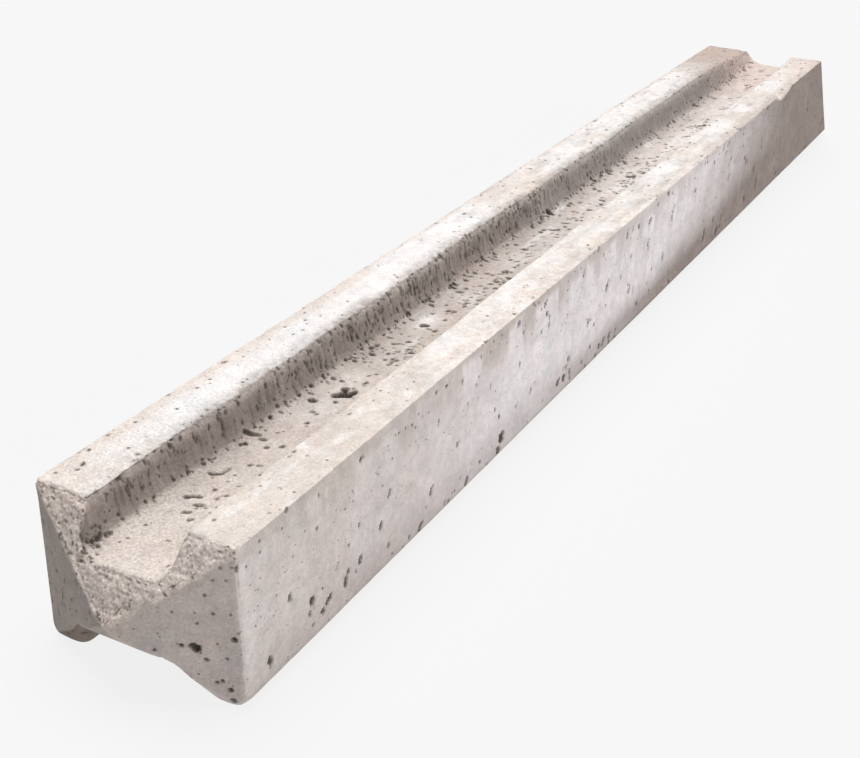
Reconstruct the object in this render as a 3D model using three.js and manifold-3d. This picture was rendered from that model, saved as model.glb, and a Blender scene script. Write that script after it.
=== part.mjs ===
// Slotted concrete fence post, lying on its side with the weathered top end at -X and the foot at +X.
// Millimetres, +Z up. The origin is at the middle of the post's box, on the plane that it lies on.
// Seen from the weathered end, left is +Y and right is -Y.
import * as THREE from 'three';
import { mergeVertices } from 'three/addons/utils/BufferGeometryUtils.js';
import Module from 'manifold-3d';

const wasm = await Module();
wasm.setup();

// The concrete section
const TOP_WIDTH = 125;           // across the upper face
const SIDE_DRAFT = 2;            // each side stands out this much further above the lower chamfer
const HEIGHT = 97;               // from the lower slotted face to the upper one
const BOTTOM_CHAMFER = 6;

// The upper slot, where a panel or gravel board slides in
const UPPER_MOUTH = 60;
const UPPER_FLOOR = 50;
const UPPER_DEPTH = 25;
const UPPER_FILLET = 9;
const UPPER_LIP = 2;

// The lower slot, flared at the mouth
const LOWER_MOUTH = 74;
const LOWER_FLOOR = 56;
const LOWER_DEPTH = 25;
const LOWER_FILLET = 8;
const LOWER_LIP = 9;

// Lengths along the post, measured from the base of the weathered pyramid
const TOP_FACE_LENGTH = 1062;
const WEATHERING = 30;           // how far the pyramid's apex stands out
const APEX_HEIGHT = 48;
const FOOT_RAKE = Math.atan(61 / 91);
const RUN_OUT = 95;              // the upper slot gets shallower and narrower over this length
const RUN_OUT_DEPTH = 0.6;       // of the full depth, at the foot
const RUN_OUT_WIDTH = 0.8;       // of the full width, at the foot
const RUN_OUT_STEPS = 8;

// The steel cage: four bars, with two rungs and one tie at each station
const BAR_RADIUS = 3;
const WIRE_RADIUS = 2;
const BAR_OFFSET = 46;           // from the middle plane to a bar's axis
const BAR_LEVELS = { lower: 22, upper: 75 };
const BAR_START = 16;
const STATIONS = 6;
const FIRST_STATION = 60;
const STATION_SPACING = 190;
const RUNG_OVERRUN = 6;          // past each bar's axis
const TIE_OVERRUN = 6;           // past each rung's axis
const GAP = 0.3;                 // between pieces that touch

const FOOT_REACH = TOP_FACE_LENGTH + HEIGHT * Math.tan(FOOT_RAKE);
const MIDDLE = (FOOT_REACH - WEATHERING) / 2;
const SIDES = { left: 1, right: -1 };
const LONG = 2 * FOOT_REACH;     // longer than any piece that it cuts

function solidOf(geometry) {
  const bare = geometry.clone();
  bare.deleteAttribute('normal');
  bare.deleteAttribute('uv');
  const merged = mergeVertices(bare, 1e-4);
  return new wasm.Manifold(new wasm.Mesh({
    numProp: 3,
    vertProperties: new Float32Array(merged.attributes.position.array),
    triVerts: new Uint32Array(merged.index.array),
  }));
}

function geometryOf(solid) {
  const mesh = solid.getMesh();
  const geometry = new THREE.BufferGeometry();
  geometry.setAttribute('position', new THREE.BufferAttribute(new Float32Array(mesh.vertProperties), 3));
  geometry.setIndex(new THREE.BufferAttribute(new Uint32Array(mesh.triVerts), 1));
  const faceted = geometry.toNonIndexed();
  faceted.computeVertexNormals();
  return faceted;
}

// A closed outline through corners [y, z, rounding], each rounded by a curve as far as its third value.
function roundedOutline(corners) {
  const shape = new THREE.Shape();
  corners.forEach(([y, z, rounding = 0], i) => {
    const here = new THREE.Vector2(y, z);
    const towards = (corner) => new THREE.Vector2(corner[0], corner[1]).sub(here).setLength(rounding).add(here);
    const before = towards(corners[(i + corners.length - 1) % corners.length]);
    const after = towards(corners[(i + 1) % corners.length]);
    if (i === 0) shape.moveTo(before.x, before.y);
    else shape.lineTo(before.x, before.y);
    if (rounding > 0) shape.quadraticCurveTo(here.x, here.y, after.x, after.y);
  });
  shape.closePath();
  return shape;
}

// The shape's x and y become the post's Y and Z, and it runs from start to end along X.
function extrudeAlongPost(shape, start, end, steps = 1) {
  const geometry = new THREE.ExtrudeGeometry(shape, {
    depth: end - start, steps, bevelEnabled: false, curveSegments: 5,
  });
  const axes = new THREE.Matrix4().makeBasis(
    new THREE.Vector3(0, 1, 0), new THREE.Vector3(0, 0, 1), new THREE.Vector3(1, 0, 0));
  return geometry.applyMatrix4(axes).translate(start, 0, 0);
}

function postOutline() {
  const widest = TOP_WIDTH / 2 + SIDE_DRAFT;
  const right = [
    [LOWER_FLOOR / 2, LOWER_DEPTH, LOWER_FILLET],
    [LOWER_MOUTH / 2, 0, LOWER_LIP],
    [widest - BOTTOM_CHAMFER, 0],
    [widest, BOTTOM_CHAMFER],
    [TOP_WIDTH / 2, HEIGHT],
    [UPPER_MOUTH / 2, HEIGHT, UPPER_LIP],
    [UPPER_FLOOR / 2, HEIGHT - UPPER_DEPTH, UPPER_FILLET],
  ];
  const left = right.map(([y, z, rounding]) => [-y, z, rounding]).reverse();
  return roundedOutline([...right, ...left]);
}

// Near the foot, the upper slot's points rise and close in by a smooth step.
function shallowTheUpperSlot(geometry) {
  const points = geometry.attributes.position;
  for (let i = 0; i < points.count; i += 1) {
    const inSlot = Math.abs(points.getY(i)) < UPPER_MOUTH / 2 + UPPER_LIP + 1 && points.getZ(i) > HEIGHT / 2;
    const along = THREE.MathUtils.smoothstep(points.getX(i), TOP_FACE_LENGTH - RUN_OUT, TOP_FACE_LENGTH);
    if (inSlot) {
      const depth = (HEIGHT - points.getZ(i)) * THREE.MathUtils.lerp(1, RUN_OUT_DEPTH, along);
      points.setZ(i, HEIGHT - depth);
      points.setY(i, points.getY(i) * THREE.MathUtils.lerp(1, RUN_OUT_WIDTH, along));
    }
  }
  return geometry;
}

// Everything on the far side of a plane, as one large block.
function beyond(point, normal) {
  const block = new THREE.BoxGeometry(LONG, LONG, LONG).translate(0, 0, LONG / 2);
  const turn = new THREE.Quaternion().setFromUnitVectors(new THREE.Vector3(0, 0, 1), normal.clone().normalize());
  block.applyQuaternion(turn).translate(point.x, point.y, point.z);
  return solidOf(block);
}

const footPoint = new THREE.Vector3(TOP_FACE_LENGTH, 0, HEIGHT);
const footNormal = new THREE.Vector3(Math.cos(FOOT_RAKE), 0, Math.sin(FOOT_RAKE));

// The four sloping faces run from the apex to the four edges of the section.
function weatheringCuts() {
  const apex = new THREE.Vector3(-WEATHERING, 0, APEX_HEIGHT);
  const halfWidth = (TOP_WIDTH + SIDE_DRAFT) / 2;
  return [
    new THREE.Vector3(APEX_HEIGHT - HEIGHT, 0, WEATHERING),
    new THREE.Vector3(-APEX_HEIGHT, 0, -WEATHERING),
    new THREE.Vector3(-halfWidth, WEATHERING, 0),
    new THREE.Vector3(-halfWidth, -WEATHERING, 0),
  ].map((normal) => beyond(apex, normal));
}

function concreteSolid(cageRoom) {
  const runOutStart = TOP_FACE_LENGTH - RUN_OUT;
  const outline = postOutline();
  const straight = extrudeAlongPost(outline, -WEATHERING, runOutStart);
  const foot = extrudeAlongPost(outline, runOutStart, runOutStart + RUN_OUT, RUN_OUT_STEPS);
  const toe = extrudeAlongPost(outline, TOP_FACE_LENGTH, FOOT_REACH + 1);
  let solid = solidOf(straight);
  for (const stretch of [foot, toe]) solid = solid.add(solidOf(shallowTheUpperSlot(stretch)));
  for (const cut of weatheringCuts()) solid = solid.subtract(cut);
  return solid.subtract(beyond(footPoint, footNormal)).subtract(cageRoom);
}

// A round wire between two points. Its clearance makes it thicker and longer, for the room that it lies in.
function wireSolid(from, to, radius, sides, clearance) {
  const along = to.clone().sub(from);
  const length = along.length() + 2 * clearance;
  const wire = new THREE.CylinderGeometry(radius + clearance, radius + clearance, length, sides);
  const turn = new THREE.Quaternion().setFromUnitVectors(new THREE.Vector3(0, 1, 0), along.normalize());
  const middle = from.clone().add(to).multiplyScalar(0.5);
  return solidOf(wire.applyQuaternion(turn).translate(middle.x, middle.y, middle.z));
}

function cageWires() {
  const wires = [];
  const rungOffset = BAR_OFFSET - BAR_RADIUS - WIRE_RADIUS - GAP;
  for (const [level, z] of Object.entries(BAR_LEVELS)) {
    for (const [side, sign] of Object.entries(SIDES)) {
      wires.push({
        name: `bar_${level}_${side}`, radius: BAR_RADIUS, sides: 16,
        from: new THREE.Vector3(BAR_START, sign * BAR_OFFSET, z),
        to: new THREE.Vector3(FOOT_REACH, sign * BAR_OFFSET, z),
      });
    }
  }
  for (let station = 0; station < STATIONS; station += 1) {
    const x = FIRST_STATION + station * STATION_SPACING;
    for (const [side, sign] of Object.entries(SIDES)) {
      wires.push({
        name: `rung_${side}_${station + 1}`, radius: WIRE_RADIUS, sides: 12,
        from: new THREE.Vector3(x, sign * rungOffset, BAR_LEVELS.lower - RUNG_OVERRUN),
        to: new THREE.Vector3(x, sign * rungOffset, BAR_LEVELS.upper + RUNG_OVERRUN),
      });
    }
    const tieX = x + 2 * WIRE_RADIUS + GAP;
    const tieReach = rungOffset + TIE_OVERRUN;
    const tieZ = (BAR_LEVELS.lower + BAR_LEVELS.upper) / 2;
    wires.push({
      name: `cross_tie_${station + 1}`, radius: WIRE_RADIUS, sides: 12,
      from: new THREE.Vector3(tieX, -tieReach, tieZ),
      to: new THREE.Vector3(tieX, tieReach, tieZ),
    });
  }
  return wires;
}

const concrete = new THREE.MeshStandardMaterial({ color: 0xd3c9c2, roughness: 0.95, metalness: 0 });
const steel = new THREE.MeshStandardMaterial({ color: 0x77706a, roughness: 0.55, metalness: 0.85 });

const post = new THREE.Group();
post.position.x = -MIDDLE;

function addPiece(name, solid, material) {
  const mesh = new THREE.Mesh(geometryOf(solid), material.clone());
  mesh.name = name;
  post.add(mesh);
}

const wires = cageWires();
const cutAtFoot = beyond(footPoint, footNormal);
const room = wires.map((w) => wireSolid(w.from, w.to, w.radius, w.sides, GAP + 0.05));
addPiece('concrete_post', concreteSolid(room.reduce((all, one) => all.add(one))), concrete);
for (const { name, from, to, radius, sides } of wires) {
  addPiece(name, wireSolid(from, to, radius, sides, 0).subtract(cutAtFoot), steel);
}

export default post;
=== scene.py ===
# Looks of a slotted concrete fence post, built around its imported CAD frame.
# The casting is one closed mesh: rings along the post with a face closing each end. Its points are drawn
# onto a smooth description of the worn post, and then moved along their normals by the surface's detail.
import math

import bpy
import numpy as np
from mathutils import Matrix, Vector
from mathutils.geometry import delaunay_2d_cdt


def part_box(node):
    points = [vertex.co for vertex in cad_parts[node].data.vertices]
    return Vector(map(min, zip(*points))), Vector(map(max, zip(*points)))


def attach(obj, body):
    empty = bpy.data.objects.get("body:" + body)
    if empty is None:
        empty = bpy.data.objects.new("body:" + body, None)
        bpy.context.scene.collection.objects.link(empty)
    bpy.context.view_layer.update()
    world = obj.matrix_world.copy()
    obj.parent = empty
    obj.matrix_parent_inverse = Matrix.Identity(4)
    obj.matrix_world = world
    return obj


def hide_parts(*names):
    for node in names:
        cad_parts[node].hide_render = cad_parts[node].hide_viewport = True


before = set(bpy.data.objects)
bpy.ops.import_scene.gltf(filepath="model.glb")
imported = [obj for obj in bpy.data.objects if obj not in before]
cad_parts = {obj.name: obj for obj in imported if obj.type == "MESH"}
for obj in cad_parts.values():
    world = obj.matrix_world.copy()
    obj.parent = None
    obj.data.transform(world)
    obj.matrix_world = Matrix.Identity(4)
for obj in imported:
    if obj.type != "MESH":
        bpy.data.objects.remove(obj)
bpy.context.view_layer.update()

LOW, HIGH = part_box("concrete_post")

# Millimetres, as in the CAD model. The shape below is made in millimetres too, with x counted from the
# base of the weathered pyramid, and placed in metres in the row frame at the end.
MM = 0.001
HEIGHT = (HIGH.z - LOW.z) / MM
HALF_WIDTH = (HIGH.y - LOW.y) / MM / 2
SIDE_DRAFT = 2
BOTTOM_CHAMFER = 6
UPPER_MOUTH, UPPER_FLOOR, UPPER_DEPTH, UPPER_FILLET = 60, 50, 25, 9
LOWER_MOUTH, LOWER_FLOOR, LOWER_DEPTH, LOWER_FILLET, LOWER_LIP = 74, 56, 25, 8, 9
WEATHERING, APEX_HEIGHT = 30, 48
FOOT_SLOPE = 61 / 91
RUN_OUT, RUN_OUT_DEPTH, RUN_OUT_WIDTH = 95, 0.6, 0.8
FOOT_REACH = (HIGH.x - LOW.x) / MM - WEATHERING
TOP_FACE_LENGTH = FOOT_REACH - HEIGHT * FOOT_SLOPE
BAR_OFFSET, BAR_LEVELS, BAR_RADIUS = 46, (22, 75), 3
SLOT_SHIFT = -2.0  # the upper slot's core sat a little towards the right side

# Fineness of the mesh, in millimetres
COARSE = 1.0
RING_NEAR, RING_FAR = 1.0 * COARSE, 1.5 * COARSE
NEAR_CAP_SPACING, FOOT_CAP_SPACING = 0.62 * COARSE, 1.2 * COARSE

SEED = 641


# -------- noise

# Large primes, which scramble the numbers of a grid's cells
PRIME_X, PRIME_Y, PRIME_Z, PRIME_SEED = 374761393, 668265263, 2246822519, 3266489917
FADING = 1.8  # how much weaker each finer layer of rough noise is


def lattice(ix, iy, iz, seed):
    """A fixed random number from 0 to 1 for each cell of a grid."""
    mixed = ix.astype(np.uint32) * np.uint32(PRIME_X)
    mixed += iy.astype(np.uint32) * np.uint32(PRIME_Y)
    mixed += iz.astype(np.uint32) * np.uint32(PRIME_Z)
    mixed += np.uint32((seed * PRIME_SEED) & 0xFFFFFFFF)
    mixed = (mixed ^ (mixed >> np.uint32(15))) * np.uint32(PRIME_Z)
    mixed = (mixed ^ (mixed >> np.uint32(13))) * np.uint32(PRIME_SEED)
    return (mixed ^ (mixed >> np.uint32(16))).astype(np.float64) / 2 ** 32


def noise(points, size, seed):
    """Smooth noise from -1 to 1. size is the width of its lumps in millimetres, or one for each axis."""
    scaled = points / np.asarray(size, float)
    cell = np.floor(scaled)
    within = scaled - cell
    within = within * within * (3 - 2 * within)
    weights = [(1 - share, share) for share in within.T]
    cell = cell.astype(np.int64)
    total = np.zeros(len(points))
    for dx, dy, dz in np.ndindex(2, 2, 2):
        corner = lattice(cell[:, 0] + dx, cell[:, 1] + dy, cell[:, 2] + dz, seed)
        total += weights[0][dx] * weights[1][dy] * weights[2][dz] * corner
    return 2 * total - 1


def rough_noise(points, size, seed, octaves=3):
    """Noise with finer and weaker lumps added on top of each other."""
    size = np.asarray(size, float)
    total, weight = np.zeros(len(points)), 0.0
    for octave in range(octaves):
        fainter = FADING ** octave
        total += noise(points, size / 2 ** octave, seed + octave) / fainter
        weight += 1 / fainter
    return total / weight


def grains(points, size, seed):
    """Rounded stones: 1 at the middle of a grain, 0 at the joints between grains."""
    scaled = points / size
    cell = np.floor(scaled).astype(np.int64)
    nearest = np.full(len(points), 9.0)
    for step in np.ndindex(3, 3, 3):
        near = cell + step - 1
        spot = np.stack([near[:, axis] + lattice(*near.T, seed + axis) for axis in range(3)], 1)
        nearest = np.minimum(nearest, np.linalg.norm(scaled - spot, axis=1))
    return np.clip(1 - nearest, 0, 1)


def ramp(low, high, value):
    """Goes smoothly from 0 to 1 as a value goes from low to high, where low may be the larger number."""
    share = np.clip((value - low) / (high - low), 0, 1)
    return share * share * (3 - 2 * share)


def unit(direction):
    direction = np.array(direction, float)
    return direction / np.linalg.norm(direction)


# -------- the smooth shape

def smooth_max(a, b, reach):
    """The larger of two, rounded where they are within reach of each other."""
    closeness = np.maximum(reach - np.abs(a - b), 0) / reach
    return np.maximum(a, b) + closeness * closeness * reach / 4


def run_out(x):
    return ramp(TOP_FACE_LENGTH - RUN_OUT, TOP_FACE_LENGTH, x)


def half_width_at(z):
    return HALF_WIDTH - SIDE_DRAFT * (z - BOTTOM_CHAMFER) / (HEIGHT - BOTTOM_CHAMFER)


def slot_middle(x, y):
    """The slot's core wandered a little along the post, and its left wall more than its right."""
    wander = 0.6 * np.sin(x / 67 + 1) + 0.3 * np.sin(x / 23) - 3.0 * run_out(x)
    left_wander = (0.6 * np.sin(x / 29) + 0.4 * np.sin(x / 13 + 2)) * ramp(800, 500, x)
    return SLOT_SHIFT + wander + left_wander * np.clip(y / 20, 0, 1)


# Distances to a sloping wall are measured square to it, and smooth_max reaches further than its radius
UPPER_SLANT, UPPER_REACH = 0.98, 1.25
LOWER_SLANT, LOWER_REACH = 0.94, 1.17


def upper_slot(x, y, z):
    """Below 0 inside the upper slot."""
    depth = UPPER_DEPTH * (1 - (1 - RUN_OUT_DEPTH) * run_out(x))
    width = 1 - (1 - RUN_OUT_WIDTH) * run_out(x)
    down = (HEIGHT - z) / depth
    half = width * (UPPER_MOUTH + (UPPER_FLOOR - UPPER_MOUTH) * down) / 2
    wall = (np.abs(y - slot_middle(x, y)) - half) * UPPER_SLANT
    rounding = UPPER_REACH * UPPER_FILLET * (depth / UPPER_DEPTH + 0.7 * run_out(x) ** 2)
    return smooth_max(wall, HEIGHT - depth - z, rounding)


def lower_slot(y, z):
    half = (LOWER_MOUTH + (LOWER_FLOOR - LOWER_MOUTH) * z / LOWER_DEPTH) / 2
    return smooth_max((np.abs(y) - half) * LOWER_SLANT, z - LOWER_DEPTH, LOWER_REACH * LOWER_FILLET)


def facet(x, y, z, normal):
    """Distance outside a sloping face of the pyramid, which passes through the apex."""
    outward = unit(normal)
    return (x + WEATHERING) * outward[0] + y * outward[1] + (z - APEX_HEIGHT) * outward[2]


FLANK_NORMAL = (-(HALF_WIDTH - SIDE_DRAFT / 2), WEATHERING, 0)
UP_NORMAL = (APEX_HEIGHT - HEIGHT, 0, WEATHERING)
DOWN_NORMAL = (-APEX_HEIGHT, 0, -WEATHERING)
FOOT_NORMAL = np.array([1, 0, FOOT_SLOPE]) / math.hypot(1, FOOT_SLOPE)

# A long chip out of the upper right arris near the foot: middle, and half size each way
CHIP_MIDDLE = np.array([918.0, -HALF_WIDTH - 1.0, HEIGHT + 4.0])
CHIP_SIZE = np.array([25.0, 8.0, 9.6])


def inside_chip(points):
    """1 in the middle of the chip, 0 on its surface."""
    return 1 - np.linalg.norm((points - CHIP_MIDDLE) / CHIP_SIZE, axis=1)


def post_surface(points, arris, lip):
    """Below 0 inside the post. arris and lip say how far the outer arrises and the slot's lips are worn."""
    x, y, z = points.T
    across = np.abs(y)
    side = across - half_width_at(z)
    chamfer = (across - HALF_WIDTH - z + BOTTOM_CHAMFER) / math.sqrt(2)
    body = smooth_max(side, z - HEIGHT, arris)
    body = smooth_max(body, chamfer, 1.0)
    body = smooth_max(body, -z, 1.0)
    body = smooth_max(body, facet(x, y, z, UP_NORMAL), 1.5 + 2.5 * ramp(61, 46, across))
    flanks = smooth_max(facet(x, across, z, FLANK_NORMAL), facet(x, y, z, DOWN_NORMAL), 1.6)
    corner = ramp(50, 60, across) * ramp(HEIGHT, HEIGHT - 14, z)
    body = smooth_max(body, flanks, 0.6 + (arris + 2.4) * corner)
    body = smooth_max(body, (points - [TOP_FACE_LENGTH, 0, HEIGHT]) @ FOOT_NORMAL, 1.6)
    body = smooth_max(body, -upper_slot(x, y, z), lip)
    body = smooth_max(body, -lower_slot(y, z), LOWER_REACH * LOWER_LIP)
    return smooth_max(body, inside_chip(points) * CHIP_SIZE.min(), 1.6)


def surface_gradient(points, arris, lip, step):
    value = post_surface(points, arris, lip)
    slopes = [(post_surface(points + step * axis, arris, lip) - value) / step for axis in np.eye(3)]
    return value, np.stack(slopes, 1)


def draw_onto_surface(points, arris, lip):
    """Moves points onto the surface, and returns them with their normals."""
    for _ in range(5):
        value, slope = surface_gradient(points, arris, lip, 0.05)
        length = np.maximum((slope ** 2).sum(1), 0.2)
        points = points - np.clip(value / length, -4, 4)[:, None] * slope
    _, slope = surface_gradient(points, arris, lip, 0.4)
    return points, slope / np.linalg.norm(slope, axis=1)[:, None]


# -------- the mesh's rings and ends

def graded(count, grading=0.5):
    """count numbers from 0 up to 1 and without it, closer together near both ends."""
    even = np.arange(count) / count
    return even - grading * np.sin(2 * np.pi * even) / (2 * np.pi)


def section_outline():
    """Points round the section, from the middle of the lower slot's roof and on by the left side."""
    left = [
        ((0, LOWER_DEPTH), 3.0), ((LOWER_FLOOR / 2, LOWER_DEPTH), 2.2), ((LOWER_MOUTH / 2, 0), 2.2),
        ((HALF_WIDTH - BOTTOM_CHAMFER, 0), 1.5), ((HALF_WIDTH, BOTTOM_CHAMFER), 1.2),
        ((half_width_at(HEIGHT), HEIGHT), 1.0), ((UPPER_MOUTH / 2, HEIGHT), 0.85),
        ((UPPER_FLOOR / 2, HEIGHT - UPPER_DEPTH), 1.0), ((0, HEIGHT - UPPER_DEPTH), 1.0),
    ]
    corners = [c for c, _ in left] + [(-y, z) for (y, z), _ in reversed(left[1:-1])]
    spacings = [s for _, s in left[:-1]] + [s for _, s in reversed(left[:-1])]
    points = []
    for i, (start, spacing) in enumerate(zip(corners, spacings)):
        start, end = np.array(start, float), np.array(corners[(i + 1) % len(corners)], float)
        count = max(2, round(np.linalg.norm(end - start) / (spacing * COARSE)))
        points.append(start + graded(count)[:, None] * (end - start))
    return np.concatenate(points)


def weathering_x(y, z):
    """Where the pyramid's faces lie over a point of the section."""
    flank = np.abs(y) / (HALF_WIDTH - SIDE_DRAFT / 2)
    up = (z - APEX_HEIGHT) / (HEIGHT - APEX_HEIGHT)
    down = (APEX_HEIGHT - z) / APEX_HEIGHT
    return WEATHERING * (np.maximum(flank, np.maximum(up, down)) - 1)


def foot_x(z):
    return TOP_FACE_LENGTH + (HEIGHT - z) * FOOT_SLOPE


def ring_shares():
    """How far along the post each ring is, from 0 to 1: finer towards the weathered end."""
    stops = [0.0]
    while stops[-1] < FOOT_REACH:
        along = stops[-1] / FOOT_REACH
        near_end = min(stops[-1], FOOT_REACH - stops[-1])
        spacing = RING_NEAR + (RING_FAR - RING_NEAR) * along
        stops.append(stops[-1] + spacing * (0.5 + 0.5 * min(near_end / 6, 1)))
    return np.array(stops) / stops[-1]


def ring_points(outline, shares):
    """Rings of section points from the pyramid to the raked foot, which follow the upper slot's core."""
    y = np.repeat(outline[None, :, 0], len(shares), 0)
    z = np.repeat(outline[None, :, 1], len(shares), 0)
    along = shares[:, None]
    x = weathering_x(y, z) * (1 - along) + foot_x(z) * along
    upper = z > HEIGHT - UPPER_DEPTH - 1
    edge = UPPER_MOUTH / 2
    closing = run_out(x) * upper
    pull = np.clip((HALF_WIDTH - SIDE_DRAFT - np.abs(y)) / (HALF_WIDTH - SIDE_DRAFT - edge), 0, 1) * upper
    deeper = (HEIGHT - z) * (1 - (1 - RUN_OUT_DEPTH) * closing)
    z = np.where(np.abs(y) < edge + 0.01, HEIGHT - deeper, z)
    y = y + pull * (slot_middle(x, y) - (1 - RUN_OUT_WIDTH) * closing * np.clip(y, -edge, edge))
    x = weathering_x(y, z) * (1 - along) + foot_x(z) * along
    return np.stack([x, y, z], 2)


def inside(polygon, points):
    """Which points lie inside a closed outline."""
    (y0, z0), (y1, z1) = polygon.T, np.roll(polygon, -1, 0).T
    y, z = points[:, :1], points[:, 1:]
    crosses = (z0 > z) != (z1 > z)
    with np.errstate(divide="ignore", invalid="ignore"):
        at = y0 + (z - z0) / (z1 - z0) * (y1 - y0)
    return (crosses & (y < at)).sum(1) % 2 == 1


TRIANGLE_HEIGHT = 0.866  # of a triangle with sides of 1
CLEAR_OF_OUTLINE = 0.55  # a share of the spacing


def cap(polygon, facing, spacing):
    """Closes an outline: extra points inside it, and triangles whose corners count outline points first."""
    low, high = polygon.min(0), polygon.max(0)
    rows = np.arange(low[1], high[1], spacing * TRIANGLE_HEIGHT)
    grid = []
    for i, z in enumerate(rows):
        ys = np.arange(low[0] + (i % 2) * spacing / 2, high[0], spacing)
        grid.append(np.stack([ys, np.full(len(ys), z)], 1))
    grid = np.concatenate(grid)
    grid = grid[inside(polygon, grid)]
    nearest = np.min(np.linalg.norm(grid[:, None] - polygon[None], axis=2), axis=1)
    grid = grid[nearest > CLEAR_OF_OUTLINE * spacing]
    flat = np.concatenate([polygon, grid])
    around = len(polygon)
    edges = [(i, (i + 1) % around) for i in range(around)]
    found = delaunay_2d_cdt([Vector(v) for v in flat], edges, [], 0, 1e-7)
    source = [ids[0] for ids in found[3]]
    triangles = np.array([[source[c] for c in face] for face in found[2]])
    a, b, c = (flat[triangles[:, k]] for k in range(3))
    keep = inside(polygon, (a + b + c) / 3)
    area = (b[:, 0] - a[:, 0]) * (c[:, 1] - a[:, 1]) - (b[:, 1] - a[:, 1]) * (c[:, 0] - a[:, 0])
    triangles[area * facing < 0] = triangles[area * facing < 0][:, ::-1]
    return grid, triangles[keep]


def post_mesh_parts():
    """All the points of the post in one array, and its quads and triangles."""
    rings = ring_points(section_outline(), ring_shares())
    count, around = rings.shape[:2]
    near, near_triangles = cap(rings[0, :, 1:], -1, NEAR_CAP_SPACING)
    foot, foot_triangles = cap(rings[-1, :, 1:], 1, FOOT_CAP_SPACING)
    near_points = np.column_stack([weathering_x(near[:, 0], near[:, 1]), near])
    foot_points = np.column_stack([foot_x(foot[:, 1]), foot])
    points = np.concatenate([rings.reshape(-1, 3), near_points, foot_points])
    ring, here = np.meshgrid(np.arange(count - 1), np.arange(around), indexing="ij")
    following = (here + 1) % around
    quads = np.stack([ring * around + here, ring * around + following,
                      (ring + 1) * around + following, (ring + 1) * around + here], 2).reshape(-1, 4)
    last_ring, body_points = (count - 1) * around, count * around
    near_ids = np.concatenate([np.arange(around), body_points + np.arange(len(near))])
    foot_ids = np.concatenate([last_ring + np.arange(around),
                               body_points + len(near) + np.arange(len(foot))])
    triangles = np.concatenate([near_ids[near_triangles], foot_ids[foot_triangles]])
    return points, quads, triangles


def scene_object(name, data):
    obj = bpy.data.objects.new(name, data)
    bpy.context.scene.collection.objects.link(obj)
    return obj


def mesh_object(name, points, quads, triangles):
    mesh = bpy.data.meshes.new(name)
    corners = np.concatenate([quads.ravel(), triangles.ravel()]).astype(np.int32)
    totals = np.concatenate([np.full(len(quads), 4), np.full(len(triangles), 3)]).astype(np.int32)
    mesh.vertices.add(len(points))
    mesh.vertices.foreach_set("co", points.astype(np.float32).ravel())
    mesh.loops.add(len(corners))
    mesh.loops.foreach_set("vertex_index", corners)
    mesh.polygons.add(len(totals))
    mesh.polygons.foreach_set("loop_start", np.concatenate([[0], np.cumsum(totals)[:-1]]).astype(np.int32))
    mesh.polygons.foreach_set("use_smooth", np.ones(len(totals), bool))
    mesh.update(calc_edges=True)
    mesh.validate()
    return scene_object(name, mesh)


# -------- where things are on the post

def zones(points, normals):
    """How much each point belongs to each kind of surface, from 0 to 1.

    The pyramid has flanks, a face that looks down, and a broken face: rough colours it, broken shapes it.
    """
    x, y, z = points.T
    across, below_top = np.abs(y), HEIGHT - z
    slot_gap = upper_slot(x, y, z)
    outward = normals * np.stack([np.ones(len(points)), np.where(y < 0, -1, 1), np.ones(len(points))], 1)

    def facing(direction, least=0.88, most=0.97):
        return ramp(least, most, outward @ unit(direction))

    in_slot = ramp(5, 3, slot_gap) * (below_top < UPPER_DEPTH + 4)
    border = 1.7 * rough_noise(points, 7, SEED + 3, 2)
    up_gap = facet(x, y, z, UP_NORMAL)
    broken_edge = 0.7 * ramp(-2.4, -0.8, up_gap) * (x < 3)
    broken_edge *= (1 - facing(FLANK_NORMAL, 0.8, 0.9)) * (1 - facing(DOWN_NORMAL, 0.8, 0.9))
    return {
        "top": ramp(0.55, 0.85, normals[:, 2]) * ramp(9, 4, below_top),
        "floor": ramp(0.6, 0.9, normals[:, 2]) * ramp(5, 10, below_top) * in_slot,
        "wall": ramp(0.35, 0.7, np.abs(normals[:, 1])) * in_slot,
        "side": facing((0, 1, 0), 0.4, 0.9) * (across > HALF_WIDTH - 9),
        "flank": facing(FLANK_NORMAL),
        "down": facing(DOWN_NORMAL),
        "foot": facing(FOOT_NORMAL),
        "under": ramp(0.5, 0.8, -normals[:, 2]),
        "rough": ramp(-2.7, -0.5, up_gap + border) * (x < 5),
        "broken": np.maximum(facing(UP_NORMAL, 0.75, 0.92), broken_edge),
        "lip": ramp(8, 0.5, below_top) * ramp(13, 0.5, np.abs(slot_gap)),
        "overhang": ramp(0.2, 0.42, -normals[:, 2]),
    }


# -------- voids

RIGHT, LEFT = -1, 1
RIM_REACH = 2.2  # how far outside its rim a void is still measured
ALMOST_NONE = 1e-9  # keeps the chances of a scatter from all being 0
TINY = 1e-6  # keeps a heading straight into the surface from having no length

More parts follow.
